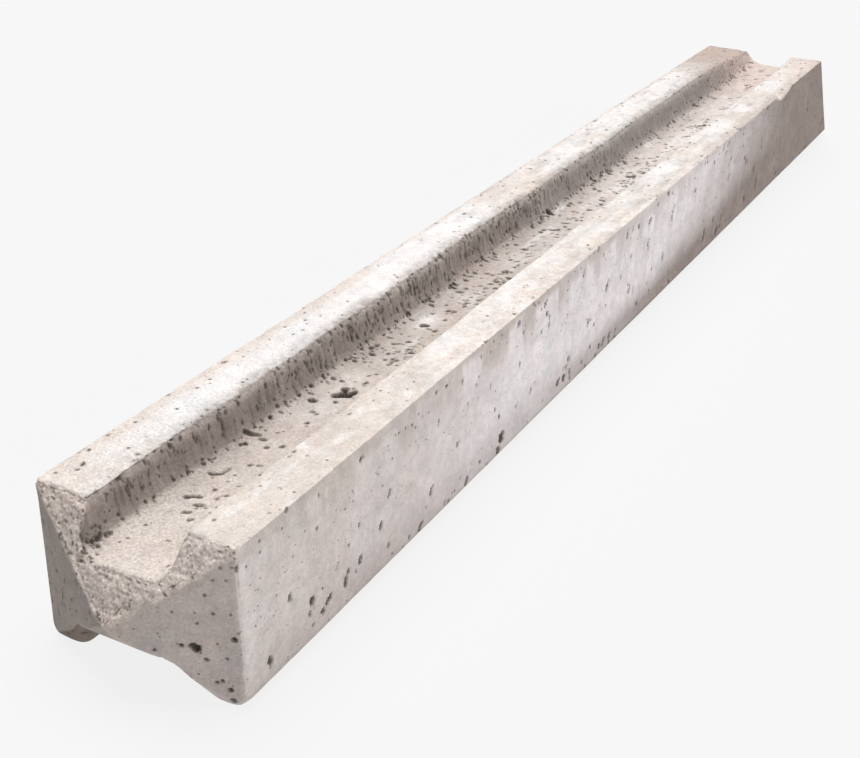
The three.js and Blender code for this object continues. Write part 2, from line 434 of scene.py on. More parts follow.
# Voids large enough to place one by one, in millimetres
SIDE_LEAN = (0.45, 0, 0.9)
SIDE_VOIDS = [  # along and up the right side; length and radius
    (287, 17, 2, 4.2), (281, 9, 2, 2.8), (60, 29, 1, 2.9), (58, 23, 1, 1.6), (41, 44, 2, 2.3),
    (93, 22, 4, 2.2), (108, 26, 2, 2.2), (22, 16, 1, 1.6), (70, 89, 1, 1.3), (131, 35, 3, 2.0),
    (190, 27, 3, 1.9), (176, 9, 4, 1.8), (236, 10, 3, 1.8), (141, 52, 3, 1.7), (511, 37, 4, 1.8),
    (603, 72, 12, 1.4), (694, 22, 8, 2.2), (730, 14, 7, 2.6), (850, 22, 8, 1.8),
]
FLANK_VOIDS = [  # across and up the pyramid's flanks; radius
    (-41, 38, 2.5), (-46, 31, 1.2), (-35, 39, 1.0), (-59, 44, 1.5), (-56, 13, 1.2), (-57, 6, 1.3),
]
WORM_HEADING = (0.62, -0.78, 0)
FLOOR_VOIDS = [  # along and across the floor of the upper slot: length, radius and depth
    (197, 0, 2, 4.4, 9.0), (193, 4, 1, 2.8, 7.0), (201, -3, 1, 2.6, 6.0), (203, 4, 1, 2.6, 7.0),
    (308, 7, 2, 2.9, 4.5), (544, 22, 4, 2.8, 3.5), (669, -1, 6, 3.0, 3.5), (850, -6, 8, 2.2, 3.0),
    (59, 10, 8, 1.8, 1.6), (85, 10, 12, 1.4, 1.0), (126, 20, 10, 1.6, 1.3), (180, 12, 2, 2.2, 2.0),
]
WALL_STREAK = (-0.06, 0.2, 1)
TOP_HEADING = (1, 0.2, 0)


def stroke(points, normals, at, heading, length, radius, depth, rng, wander=0.25):
    """A void lying in the surface at one of its points: two short capsules with a bend between them."""
    first = heading - (heading @ normals[at]) * normals[at] + TINY
    second = heading + wander * rng.normal(size=3)
    second -= (second @ normals[at]) * normals[at]
    middle = points[at]
    return [
        (middle - unit(first) * length / 2, middle, radius, depth),
        (middle, middle + unit(second) * length / 2, radius * rng.uniform(0.65, 1), depth),
    ]


def placed_voids(points, normals, rng):
    strokes = []

    def place(middle, heading, length, radius, depth, wander=0.25):
        at = np.argmin(((points - middle) ** 2).sum(1))
        strokes.extend(stroke(points, normals, at, np.array(heading), length, radius, depth, rng, wander))

    for x, z, length, radius in SIDE_VOIDS:
        place((x, -half_width_at(z), z), SIDE_LEAN, length, radius, 0.9 * radius)
    for y, z, radius in FLANK_VOIDS:
        place((weathering_x(y, z), y, z), (0, 1.0, 0.2), 0.8 * radius, radius, 1.1 * radius)
    for x, y, length, radius, depth in FLOOR_VOIDS:
        place((x, y, HEIGHT - UPPER_DEPTH), WORM_HEADING, length, radius, depth, 0.6)
    return strokes


def scattered_voids(points, normals, chance, count, heading, length, radius, rng, wander):
    """Random voids where chance is high: lengths and radii are (smallest, largest), and most are small."""
    strokes = []
    for at in rng.choice(len(points), count, p=chance / chance.sum()):
        size = rng.random() ** 2.2
        thick = radius[0] + (radius[1] - radius[0]) * size
        reach = length[0] + (length[1] - length[0]) * rng.random() ** 1.6
        way = np.array(heading) + 0.2 * rng.normal(size=3)
        strokes += stroke(points, normals, at, way, reach, thick, thick * rng.uniform(0.7, 1.2), rng, wander)
    return strokes


def side_face_voids(scatter, points, zone, clusters, side):
    x, y, z = points.T
    here = zone["side"] * (y * side > 0)
    low_or_far = 0.45 + 0.9 * ramp(60, 5, z) + 0.5 * ramp(400, 900, x)
    scatter(here * low_or_far, 170, SIDE_LEAN, (0.3, 2.5), (0.6, 1.4))
    scatter(here * clusters * low_or_far, 105, SIDE_LEAN, (0.8, 4.5), (1.0, 2.4))
    middle = here * ramp(250, 400, x) * ramp(900, 750, x)
    scatter(middle * (0.2 + clusters), 36, SIDE_LEAN, (1, 7), (1.3, 2.6))


def slot_wall_voids(scatter, points, zone, clusters, side):
    """Upright streaks where the core tore the slot's walls as it was drawn."""
    x, y, z = points.T
    walls = zone["wall"] * (y * side > 0) * (0.6 + 0.7 * clusters) * ramp(-5, 40, x)
    walls *= (0.2 + 0.8 * ramp(750, 450, x)) * (0.6 + 0.4 * ramp(80, 200, x))
    streak_band = ramp(1, 4, HEIGHT - z) * ramp(73, 86, z)
    streak = (WALL_STREAK[0], WALL_STREAK[1] * side, WALL_STREAK[2])
    scatter(walls * streak_band, 440, streak, (0.8, 5), (0.45, 1.1), 0.12)


def slot_floor_voids(scatter, points, zone, clusters):
    """Bubbles along the fillets, worm holes over the floor, and flat marks further along it."""
    x, y, z = points.T
    fillet = (zone["floor"] + zone["wall"]) * ramp(14, 18, np.abs(y - SLOT_SHIFT)) * (z < 80)
    scatter(fillet, 400, WORM_HEADING, (0.3, 2.0), (0.55, 1.2), 0.6)
    fewer_near = 0.35 * ramp(8, 30, x) + 0.65 * ramp(100, 300, x)
    worms = zone["floor"] * (0.3 + clusters) * ramp(1250, 200, x) * fewer_near
    scatter(worms, 600, WORM_HEADING, (0.3, 2.5), (0.6, 1.7), 0.6)
    flat_marks = zone["floor"] * ramp(250, 700, x)
    scatter(flat_marks, 140, WORM_HEADING, (2, 8), (0.6, 1.4), 0.2)


def top_face_voids(scatter, points, zone):
    x, y, _ = points.T
    near_left = 0.6 * ramp(160, 60, x) * (y > 0)
    tops = zone["top"] * (0.2 + ramp(500, 1000, x) + near_left) * (x > 2)
    scatter(tops, 230, TOP_HEADING, (0.3, 3), (0.5, 1.2))


def end_voids(scatter, points, zone):
    """The pyramid's faces and the foot, and the coarse corner at the slot's left mouth."""
    y = points[:, 1]
    ends = zone["flank"] + zone["down"] + 0.3 * zone["foot"]
    scatter(ends, 60, (0, 1, 0.3), (0.2, 1.2), (0.4, 0.85))
    scatter(zone["flank"] * (y > 0) + ALMOST_NONE, 16, (0, 0.2, 1), (1, 4), (0.45, 0.9))
    scatter(zone["rough"] + ALMOST_NONE, 22, (0, 1, 0.3), (0.3, 1.5), (0.4, 1.0))
    corner = honeycomb(points) * (zone["rough"] + zone["wall"] + zone["floor"])
    scatter(corner, 40, (0.3, 0.5, 1), (0.3, 1.5), (0.6, 1.3))


def far_specks(scatter, points, zone):
    x, y, _ = points.T
    specks = zone["top"] * np.where(y > 0, ramp(380, 500, x), 0.5 * ramp(600, 800, x))
    scatter(specks, 150, TOP_HEADING, (0.3, 2.5), (0.45, 1.1))


def right_side_clusters(scatter, points, zone):
    """Larger voids under the right side's arris and above its bottom edge, a third of the way along."""
    x, y, z = points.T
    right = zone["side"] * (y < 0) * ramp(210, 240, x) * ramp(460, 430, x)
    scatter(right * ramp(40, 28, z), 9, SIDE_LEAN, (1, 4), (1.4, 2.4))
    scatter(right * ramp(50, 62, z), 11, SIDE_LEAN, (1, 5), (1.0, 1.9))


def all_voids(points, normals, zone, rng):
    strokes = placed_voids(points, normals, rng)

    def scatter(chance, count, heading, length, radius, wander=0.25):
        strokes.extend(scattered_voids(points, normals, chance, count, heading, length, radius, rng, wander))

    clusters = ramp(-0.1, 0.5, noise(points, 22, SEED + 11))
    for side in (RIGHT, LEFT):
        side_face_voids(scatter, points, zone, clusters, side)
        slot_wall_voids(scatter, points, zone, clusters, side)
    slot_floor_voids(scatter, points, zone, clusters)
    top_face_voids(scatter, points, zone)
    end_voids(scatter, points, zone)
    scatter(zone["under"] + ALMOST_NONE, 260, (1, 0, 0), (0.5, 5), (0.7, 2.0))
    far_specks(scatter, points, zone)
    right_side_clusters(scatter, points, zone)
    return strokes


def open_voids(points, strokes):
    """How deep the voids are at each point, and how far inside the rim of a void it is, in millimetres."""
    order = np.argsort(points[:, 0])
    sorted_x = points[order, 0]
    ragged = 0.42 * rough_noise(points, 2.6, SEED + 21, 2)
    depths, inside_rim = np.zeros(len(points)), np.full(len(points), -RIM_REACH)
    for start, end, radius, depth in strokes:
        reach = radius + RIM_REACH
        first = np.searchsorted(sorted_x, min(start[0], end[0]) - reach)
        last = np.searchsorted(sorted_x, max(start[0], end[0]) + reach)
        near = order[first:last]
        offset, axis = points[near] - start, end - start
        share = np.clip(offset @ axis / (axis @ axis), 0, 1)
        gap = np.linalg.norm(offset - share[:, None] * axis, axis=1) + radius * ragged[near]
        inside_rim[near] = np.maximum(inside_rim[near], radius - gap)
        depths[near] = np.maximum(depths[near], depth * ramp(1.0, 0.45, gap / radius))
    return depths, inside_rim


# -------- wear and grain

HONEYCOMB = np.array([-6.0, 22.0, 79.0])  # coarse stones showing where the slot's left wall begins
HONEYCOMB_SIZE = np.array([11.5, 8.0, 10.5])
BAR_AXES = [(side * BAR_OFFSET, level) for side in (RIGHT, LEFT) for level in BAR_LEVELS]
BAR_END_RIM, BAR_END_DEPTH = 1.6, 1.4


def only_where(weight, function):
    """weight times function of the point numbers, worked out only where the weight counts."""
    result = np.zeros(len(weight))
    here = np.flatnonzero(weight > 0.01)
    result[here] = weight[here] * function(here)
    return result


def honeycomb(points):
    """1 in the coarse corner at the slot's left mouth, fading to 0 around it."""
    return np.exp(-(((points - HONEYCOMB) / HONEYCOMB_SIZE) ** 2).sum(1))


def from_bars(points):
    """How far each point is from the nearest bar's axis."""
    return np.min([np.hypot(points[:, 1] - y, points[:, 2] - z) for y, z in BAR_AXES], axis=0)


def bar_end_recess(points):
    """1 over the bar ends in the foot face, 0 away from them."""
    at_foot = points[:, 0] > FOOT_REACH / 2
    return ramp(BAR_RADIUS + BAR_END_RIM, BAR_RADIUS + 0.4, from_bars(points)) * at_foot


def lost_cement(points, zone):
    """Cement lost all over, and most in the slot: streaks on its walls and trowel marks on its floor."""
    x, y, _ = points.T
    pitted = zone["floor"] + zone["wall"] + 0.5 * zone["top"]
    inward = 0.3 * (0.5 + 0.5 * noise(points, 70, SEED + 31))
    inward += 0.16 * (0.5 + 0.5 * noise(points, 9, SEED + 32))
    inward += 0.30 * pitted * (0.5 + 0.5 * noise(points, 3.4, SEED + 43))
    streaks = 1 - np.abs(noise(points, (2.2, 40, 13), SEED + 33))
    inward += 0.3 * zone["wall"] * streaks ** 3 * ramp(800, 500, x)
    inward += 0.5 * zone["wall"] * (0.5 + 0.5 * rough_noise(points, 5, SEED + 44, 2))
    crumbly = (zone["top"] + zone["floor"]) * ramp(200, 60, x) * (y > -30)
    inward += only_where(crumbly, lambda i: 0.7 * np.abs(rough_noise(points[i], 3.2, SEED + 46, 2)))
    uneven = 0.5 + 0.5 * rough_noise(points, 11, SEED + 47, 2)
    inward += 0.5 * zone["floor"] * uneven * ramp(200, 400, x)
    trowelled = 0.5 + 0.5 * noise(points, (26, 2.4, 30), SEED + 34)
    return inward + 0.28 * (zone["floor"] + 0.5 * zone["top"]) * trowelled


def broken_away(points, zone):
    """How far the rough face is broken away in lumps and crumbs, and how deep its crevices are, which sets
    the painted shade laid in them.
    """
    broken = zone["broken"]
    lumps = only_where(broken, lambda i: 0.5 - 0.5 * rough_noise(points[i], 8.0, SEED + 35, 3))
    crumbs = only_where(broken, lambda i: 1 - 1.6 * np.abs(rough_noise(points[i], 4.6, SEED + 36, 3)))
    sandy = only_where(broken, lambda i: np.abs(rough_noise(points[i], 2.0, SEED + 45, 2)))
    crevice_shade = ramp(0.6, 1.0, 0.6 * lumps + 0.3 * crumbs + 0.5 * sandy)
    return np.maximum(2.6 * lumps + 0.9 * crumbs + 1.4 * sandy - 1.1 * broken, 0), crevice_shade


def crumbled_lips(points, zone):
    """The slot's left lip has crumbled, most of all near the pyramid, and its right lip a little."""
    x, y, _ = points.T
    crumbling = 0.35 + 0.65 * ramp(140, 20, x) + 0.5 * noise(points, 45, SEED + 37)
    left_lip = zone["lip"] * (y > 0) * np.clip(crumbling, 0.25, 1.2)
    inward = only_where(left_lip, lambda i: 1.4 * (1 - grains(points[i], 2.4, SEED + 38)))
    inward += only_where(left_lip, lambda i: 0.8 - 0.8 * rough_noise(points[i], 6, SEED + 42))
    lumpy = left_lip * ramp(170, 90, x)
    inward += only_where(lumpy, lambda i: 1.5 * np.abs(rough_noise(points[i], 4.5, SEED + 48, 2)))
    return inward + only_where(zone["lip"] * (y < 0), lambda i: 0.5 * (1 - grains(points[i], 3.0, SEED + 39)))


def chipped_arris(points):
    _, y, z = points.T
    arris = ramp(3.5, 0.5, HEIGHT - z) * ramp(5, 1.5, half_width_at(z) - np.abs(y))
    return arris * 0.9 * np.clip(rough_noise(points, 11, SEED + 41) + 0.1, 0, 1)


def wear(points, zone):
    """How far the surface is worn inward, apart from its voids, and how much painted shade goes into its
    crevices and the joints between the honeycomb's stones.
    """
    broken, crevice_shade = broken_away(points, zone)
    inward = lost_cement(points, zone) + broken + crumbled_lips(points, zone)
    between_stones = only_where(honeycomb(points), lambda i: 1 - grains(points[i], 5.0, SEED + 40))
    inward += 5.0 * between_stones ** 1.3 + chipped_arris(points) + BAR_END_DEPTH * bar_end_recess(points)
    return inward, np.maximum(0.5 * crevice_shade, ramp(0.5, 0.9, between_stones))


def arris_and_lip(points):
    """How far each arris and lip is rounded: the left lip is worn most, and unevenly."""
    x, y, _ = points.T
    arris = 0.9 + 0.6 * np.clip(rough_noise(points, (30, 200, 200), SEED + 1), -1, 1)
    worn = 6.0 + 3.0 * rough_noise(points, (38, 200, 200), SEED + 2) - 2.5 * ramp(100, 30, x)
    worn = worn * (1 - 0.8 * ramp(900, 1050, x))
    crisp = 1.4 + 0.7 * rough_noise(points, (25, 200, 200), SEED + 4) + 2.0 * ramp(30, 0, x)
    return arris, np.where(y > SLOT_SHIFT, worn, crisp)


# -------- colours

CREAM = (0.78, 0.69, 0.63)
BLEACHED = (0.89, 0.86, 0.85)
BRIGHT_EDGE = (0.82, 0.765, 0.745)
LILAC_GREY = (0.745, 0.68, 0.675)
LILAC_WHITE = (0.89, 0.835, 0.84)
DRIP_BEIGE = (0.66, 0.595, 0.55)
DRIP_BROWN = (0.545, 0.465, 0.42)
SLOT_GREY = (0.40, 0.345, 0.315)
SLOT_CREAM = (0.74, 0.65, 0.59)
SLOT_TAN = (0.645, 0.56, 0.51)
FLANK_GREY = (0.54, 0.475, 0.45)
APEX_BROWN = (0.55, 0.45, 0.395)
COOL_GREY = (0.43, 0.395, 0.39)
ROUGH_GREY = (0.72, 0.625, 0.57)
ROUGH_CREAM = (0.86, 0.745, 0.68)
STAIN_BROWN = (0.315, 0.255, 0.23)
PINK = (0.74, 0.60, 0.53)
# painted shade: the colour of undersides and of the lower slot under the post
UNDERSIDE_PAINTED_SHADE = (0.22, 0.19, 0.165)
# painted shade: the colour under the left leg's overhang
LEFT_LEG_PAINTED_SHADE = (0.18, 0.14, 0.115)
# painted shade: the colour of the pyramid's left face, which is turned from the light
LEFT_FLANK_PAINTED_SHADE = (0.38, 0.33, 0.30)
FOOT_TOP_TAN = (0.44, 0.345, 0.30)
RUST = (0.50, 0.30, 0.18)
# dirt and painted shade in the voids, pits and crevices
VOID_DIRT_AND_SHADE = (0.115, 0.095, 0.08)
MILL_SCALE = (0.10, 0.085, 0.08)
RUSTED_STEEL = (0.30, 0.12, 0.05)


def tint_sides(lay, points, zone, broad, patchy):
    """Lilac sides with rain stains hanging from the arris, and a dark stain low down and at the foot."""
    x, y, z = points.T
    side, below_top = zone["side"], HEIGHT - z
    drip_depth = 7 + 4 * noise(points, (21, 500, 500), SEED + 63)
    drips = ramp(-0.1, 0.35, rough_noise(points, (11, 500, 90), SEED + 64))
    drips *= ramp(38, 5, below_top)
    band = ramp(drip_depth + 4, drip_depth - 3, below_top)
    lay(DRIP_BEIGE, side * 0.55 * ramp(260, 40, x + 60 * broad))
    lay(LILAC_WHITE, side * 0.92 * ramp(120, 370, x + 80 * broad))
    dirty = 0.6 + 0.4 * ramp(-0.2, 0.4, noise(points, (80, 500, 500), SEED + 73))
    fading = 0.35 + 0.65 * ramp(700, 350, x)
    lay(DRIP_BROWN, side * dirty * np.maximum(0.75 * band, 0.8 * drips) * fading)
    lay(STAIN_BROWN, side * 0.36 * ramp(42 + 12 * broad, 8, z))
    lay(BRIGHT_EDGE, side * 0.35 * ramp(24, 5, x + 4 * patchy))
    runs = ramp(0.0, 0.8, rough_noise(points, (8, 500, 90), SEED + 72))
    lay(DRIP_BEIGE, side * 0.35 * runs)
    stained_from = np.where(y < 0, 820, 880) - 300 * np.exp((20 - z) / 22)
    far_stain = ramp(-190, 190, x - np.maximum(stained_from, 470) + 45 * broad + 25 * patchy)
    lay(STAIN_BROWN, side * 0.98 * far_stain)
    on_chamfer = ramp(BOTTOM_CHAMFER + 4, BOTTOM_CHAMFER + 1, z)
    lay(STAIN_BROWN, on_chamfer * (0.3 + 0.7 * ramp(300, 750, x)))


def tint_tops(lay, points, zone, broad, patchy):
    """Cream tops bleached white, the left one most, with pale veins and a web of cracks on the right one."""
    x, y, _ = points.T
    right = zone["top"] * (y < 0)
    lay(CREAM, zone["top"])
    left_whiter = 0.85 * ramp(40, 120, x) + 0.15 - 0.2 * ramp(250, 400, x)
    left_whiter -= 0.6 * ramp(400, 900, x) + 0.9 * np.exp(-((x - 520) / 70) ** 2)
    right_whiter = 0.27 * ramp(200, 300, x) * ramp(58, 48, np.abs(y)) - 0.15
    right_whiter -= 0.25 * ramp(220, 120, x)
    whiter = np.where(y > 0, left_whiter, right_whiter)
    bleached = ramp(-0.3, 0.5, 0.6 * patchy + 0.5 * broad + whiter)
    beige_edge = 16 - 11 * ramp(270, 380, x) * (y > 0)
    from_edge = ramp(0, beige_edge + 6 * patchy, HALF_WIDTH - SIDE_DRAFT - np.abs(y))
    lay(BLEACHED, zone["top"] * 0.9 * bleached * from_edge)
    lay(DRIP_BEIGE, right * 0.3 * ramp(260, 120, x + 30 * broad))
    veins = ramp(0.1, 0.45, rough_noise(points, (16, 6, 6), SEED + 77))
    lay(BLEACHED, right * 0.6 * veins * ramp(700, 500, x))
    web = ramp(0.84, 0.97, 1 - np.abs(rough_noise(points, (9, 5, 5), SEED + 78, 2)))
    lay(BLEACHED, right * 0.6 * web * ramp(120, 240, x) * ramp(850, 650, x))
    beige_patches = ramp(0.1, 0.6, rough_noise(points, (60, 9, 9), SEED + 65))
    lay(DRIP_BEIGE, zone["top"] * 0.25 * beige_patches)


def tint_walls_and_lip(lay, points, zone, patchy):
    """Grey slot walls with dark and light streaks down them, and grey specks over the crumbled left lip."""
    x, y, z = points.T
    wall = zone["wall"]
    lay(SLOT_GREY, wall)
    lay(COOL_GREY, wall * 0.65 * ramp(400, 650, x))
    lay(STAIN_BROWN, wall * 0.35 * ramp(300, 100, x))
    # dark upright streaks in the void colour: dirt and painted shade of the torn streaks
    dark_streaks = ramp(0.1, 0.9, noise(points, (2.4, 30, 14), SEED + 66)) * ramp(850, 500, x)
    lay(VOID_DIRT_AND_SHADE, wall * 0.48 * dark_streaks)
    light_streaks = ramp(0.1, 0.9, noise(points, (2.0, 30, 12), SEED + 69))
    lay(SLOT_CREAM, wall * (0.35 - 0.17 * ramp(300, 100, x)) * light_streaks)
    lay(SLOT_CREAM, wall * 0.15 * ramp(10, 3, HEIGHT - z))
    paler_near = 1 - 0.75 * ramp(130, 60, x)
    beside_slot = ramp(12 + 5 * patchy, 1, upper_slot(x, y, z))
    lay(SLOT_GREY, zone["top"] * (y > 0) * 0.45 * beside_slot * paler_near)
    specks = ramp(-0.4, 0.5, rough_noise(points, 3.0, SEED + 70) + 0.5 * patchy) * (y > 0)
    lay(SLOT_GREY, zone["lip"] * 0.9 * specks * (1 - 0.6 * ramp(600, 900, x)) * paler_near)


def tint_floor(lay, points, zone, broad, patchy):
    """A cream and tan slot floor, greyer towards its left side with the left lip's painted shadow, and with
    pale, grimy and rusty patches.
    """
    x, y, _ = points.T
    floor = zone["floor"]
    lay(SLOT_CREAM, floor)
    lay(SLOT_TAN, floor * ramp(40, 160, x + 30 * broad) * (1 - 0.7 * ramp(450, 700, x)))
    lay(SLOT_GREY, floor * 0.2 * ramp(230, 300, x) * ramp(720, 600, x))
    lay(LILAC_WHITE, floor * 0.3 * ramp(300, 600, x))
    # painted shadow of the left lip on the floor near the left wall
    lay(SLOT_GREY, floor * 0.5 * ramp(0, 20, y + 3 * patchy) * ramp(10, 60, x))
    pale_patches = ramp(0.0, 0.6, rough_noise(points, (40, 9, 9), SEED + 67))
    lay(BLEACHED, floor * (0.5 - 0.35 * ramp(260, 140, x)) * pale_patches)
    grimy = ramp(0.0, 0.5, rough_noise(points, (22, 6, 6), SEED + 76)) * ramp(250, 500, x)
    lay(SLOT_GREY, (0.2 * floor + 0.3 * zone["top"]) * grimy * ramp(1050, 850, x))
    rusty = ramp(0.25, 0.7, rough_noise(points, (30, 7, 7), SEED + 68)) * (x > 150)
    lay(RUST, floor * 0.22 * rusty)
    bloom = np.exp(-((x - 314) / 14) ** 2 - ((y - 8) / 7) ** 2)
    lay(BLEACHED, floor * bloom * (0.7 + 0.7 * patchy))


def tint_foot_end(lay, points, zone, broad, patchy):
    """A brown outer edge on the right top, the fresh chip, and the pink and tan end of the post."""
    x, y, _ = points.T
    outer_edge = ramp(-50, -60, y + 2 * patchy)
    lay(DRIP_BROWN, zone["top"] * 0.5 * outer_edge * ramp(620, 780, x))
    lay(CREAM, ramp(-0.25, -0.05, inside_chip(points)))
    lay(FOOT_TOP_TAN, zone["top"] * (y > 0) * 0.95 * ramp(900, 1040, x + 25 * broad))
    pink_end = ramp(930, 1060, x + 20 * broad)
    lay(PINK, (zone["floor"] + zone["wall"] + 0.6 * zone["top"]) * 0.7 * pink_end)


def tint_flanks(lay, points, zone, broad, patchy):
    """The smooth faces of the pyramid: grey with brown by the apex, and the left one darker with painted
    shade. Painted shade also goes into the lower slot and under the left leg.
    """
    x, y, z = points.T
    smooth_faces = zone["flank"] + zone["down"]
    lay(FLANK_GREY, smooth_faces)
    near_apex = ramp(26, 8, np.hypot(y, z - APEX_HEIGHT) + 6 * patchy)
    below_rough = ramp(-9, -2, facet(x, y, z, UP_NORMAL)) * ramp(-0.3, 0.5, broad + 0.2)
    lay(APEX_BROWN, smooth_faces * np.maximum(0.55 * near_apex, 0.45 * below_rough))
    # painted shade: the pyramid's left face is darkened as if it were turned from the light
    lay(LEFT_FLANK_PAINTED_SHADE, smooth_faces * (y > 0) * 0.9)
    browner = ramp(0.0, 0.6, rough_noise(points, 13, SEED + 74))
    greyer = ramp(0.0, 0.6, rough_noise(points, 20, SEED + 75)) * ramp(60, 25, z)
    lay(COOL_GREY, zone["flank"] * (y < 0) * 0.6 * greyer)
    lay(APEX_BROWN, (zone["flank"] + 0.4 * zone["side"]) * (y < 0) * 0.5 * browner)
    in_lower_slot = ramp(6, 3, np.abs(lower_slot(y, z)))
    # painted shade in the lower slot, which lies under the post
    lay(UNDERSIDE_PAINTED_SHADE, in_lower_slot * (1 - zone["down"]) * (1 - zone["flank"]))
    # painted shade on the down-facing faces of the left leg
    lay(LEFT_LEG_PAINTED_SHADE, zone["overhang"] * ramp(24, 32, y) * (x < 0))


def tint_broken_face_and_foot(lay, points, zone):
    """The broken face, paler on its right part, the underside darkened with painted shade, and the foot with
    rust round its bar ends.
    """
    lay(ROUGH_GREY, zone["rough"])
    lay(ROUGH_CREAM, zone["rough"] * 0.9 * (points[:, 1] < -25))
    lay(SLOT_GREY, honeycomb(points) * 0.5)
    # painted shade on the faces that look down
    lay(UNDERSIDE_PAINTED_SHADE, zone["under"])
    lay(FLANK_GREY, zone["foot"])
    lay(RUST, zone["foot"] * 0.7 * np.exp(-(from_bars(points) / 8) ** 2))


def tints(points, zone, crevice_shade):
    """The colour of each point, before the material's own fine variation. Later coats cover earlier ones."""
    broad = rough_noise(points, 55, SEED + 61)
    patchy = rough_noise(points, (30, 14, 14), SEED + 62)
    colour = np.tile(np.array(LILAC_GREY), (len(points), 1))

    def lay(over, weight):
        """Paints over what is there, as strongly as weight says, from 0 to 1."""
        colour[:] += (np.array(over) - colour) * np.clip(weight, 0, 1)[:, None]

    tint_sides(lay, points, zone, broad, patchy)
    tint_tops(lay, points, zone, broad, patchy)
    tint_walls_and_lip(lay, points, zone, patchy)
    tint_floor(lay, points, zone, broad, patchy)
    tint_foot_end(lay, points, zone, broad, patchy)
    tint_flanks(lay, points, zone, broad, patchy)
    tint_broken_face_and_foot(lay, points, zone)
    # painted shade in the crevices of the broken face and between the honeycomb's stones
    lay(VOID_DIRT_AND_SHADE, (0.75 - 0.25 * (points[:, 1] < -25)) * crevice_shade)
    warmth = 0.03 * rough_noise(points, 18, SEED + 71)
    return colour * (1 + warmth[:, None] * np.array([0.8, -0.3, -0.9]))


def graininess(points, zone):
    """How sandy the surface is at each point: most on the broken face, and near it on the top and floor."""
    near_end = ramp(220, 60, points[:, 0])
    top = zone["top"] * (0.4 + 0.45 * near_end * (points[:, 1] > 0))
    sandy = 0.35 + 0.4 * zone["flank"] + 0.25 * zone["side"] * near_end
    return sandy + top + 0.6 * zone["wall"] + 0.9 * zone["rough"] + (0.5 + 0.5 * near_end) * zone["floor"]


# -------- materials

FINE_DETAIL = 0.62  # how strong the smaller lumps of a noise texture are


def set_inputs(node, values):
    for socket, value in values.items():
        node.inputs[socket].default_value = value


def new_material(name, values):
    material = bpy.data.materials.new(name)
    material.use_nodes = True
    set_inputs(material.node_tree.nodes["Principled BSDF"], values)
    return material


class NodeMaker:
    """Makes the nodes of one material, which read the object's own coordinates."""

    def __init__(self, material):
        self.nodes, self.links = material.node_tree.nodes, material.node_tree.links
        self.shader = self.nodes["Principled BSDF"]
        self.coordinates = self.node("TexCoord").outputs["Object"]

    def node(self, kind):
        return self.nodes.new("ShaderNode" + kind)

    def noise(self, scale, detail):
        texture = self.node("TexNoise")
        set_inputs(texture, {"Scale": scale, "Detail": detail, "Roughness": FINE_DETAIL})
        self.links.new(self.coordinates, texture.inputs["Vector"])
        return texture.outputs["Fac"]

    def shade(self, value, low, high, darkest, lightest):
        """Goes from darkest to lightest as a value goes from low to high."""
        mapped = self.node("MapRange")
        set_inputs(mapped, {"From Min": low, "From Max": high, "To Min": darkest, "To Max": lightest})
        self.links.new(value, mapped.inputs["Value"])
        return mapped.outputs["Result"]

    def math(self, operation, first, second):
        node = self.node("Math")
        node.operation = operation
        for socket, value in zip(node.inputs, (first, second)):
            if isinstance(value, (int, float)):
                socket.default_value = value
            else:
                self.links.new(value, socket)
        return node.outputs["Value"]

    def pinholes(self, scale, radius, rarity):
        """1 inside small round holes, which only some of the cells of a Voronoi pattern have."""
        cells = self.node("TexVoronoi")
        cells.inputs["Scale"].default_value = scale
        self.links.new(self.coordinates, cells.inputs["Vector"])
        split = self.node("SeparateColor")
        self.links.new(cells.outputs["Color"], split.inputs["Color"])
        has_hole = self.math("GREATER_THAN", split.outputs["Red"], rarity)
        size = self.math("MULTIPLY", split.outputs["Green"], radius)
        rim = self.math("SUBTRACT", size, cells.outputs["Distance"])
        return self.math("MULTIPLY", self.shade(rim, 0.0, 0.12, 0.0, 1.0), has_hole)

    def attribute(self, name, output):
        node = self.node("Attribute")
        node.attribute_name = name
        return node.outputs[output]

    def into_shader(self, socket, value):
        self.links.new(value, self.shader.inputs[socket])

    def bump(self, height, distance, strength):
        node = self.node("Bump")
        set_inputs(node, {"Distance": distance, "Strength": strength})
        self.links.new(height, node.inputs["Height"])
        self.into_shader("Normal", node.outputs["Normal"])


def concrete_pattern(make):
    """How light the concrete is from place to place, with painted shade in its pinholes, and the fine relief
    of its sand and pinholes.
    """
    grain = make.attribute("grain", "Fac")
    clouds = make.shade(make.noise(38, 5), 0.3, 0.7, 0.89, 1.07)
    mottle = make.shade(make.noise(170, 4), 0.32, 0.68, 0.90, 1.07)
    sand = make.noise(620, 3)
    sandy = make.math("ADD", make.math("MULTIPLY", make.shade(sand, 0.3, 0.7, -0.2, 0.13), grain), 1.0)
    shade = make.math("MULTIPLY", make.math("MULTIPLY", clouds, mottle), sandy)
    holes = make.math("MAXIMUM", make.pinholes(260, 0.34, 0.88), make.pinholes(620, 0.36, 0.92))
    # painted shade: pinholes too small for the mesh are darkened
    shade = make.math("MULTIPLY", shade, make.shade(holes, 0, 1, 1.0, 0.42))
    return shade, make.math("SUBTRACT", make.math("MULTIPLY", sand, grain), holes)


def void_amount(make):
    """How much of the dark void colour, dirt and painted shade, a point takes: nearly 1 on the floor of a
    void and 0 outside it, with a ragged edge between.
    """
    ragged = make.shade(make.noise(480, 3), 0.25, 0.75, -0.45, 0.45)
    rim = make.math("ADD", make.attribute("inside_rim", "Fac"), ragged)
    return make.shade(rim, -0.5, 0.8, 0.0, 0.94)


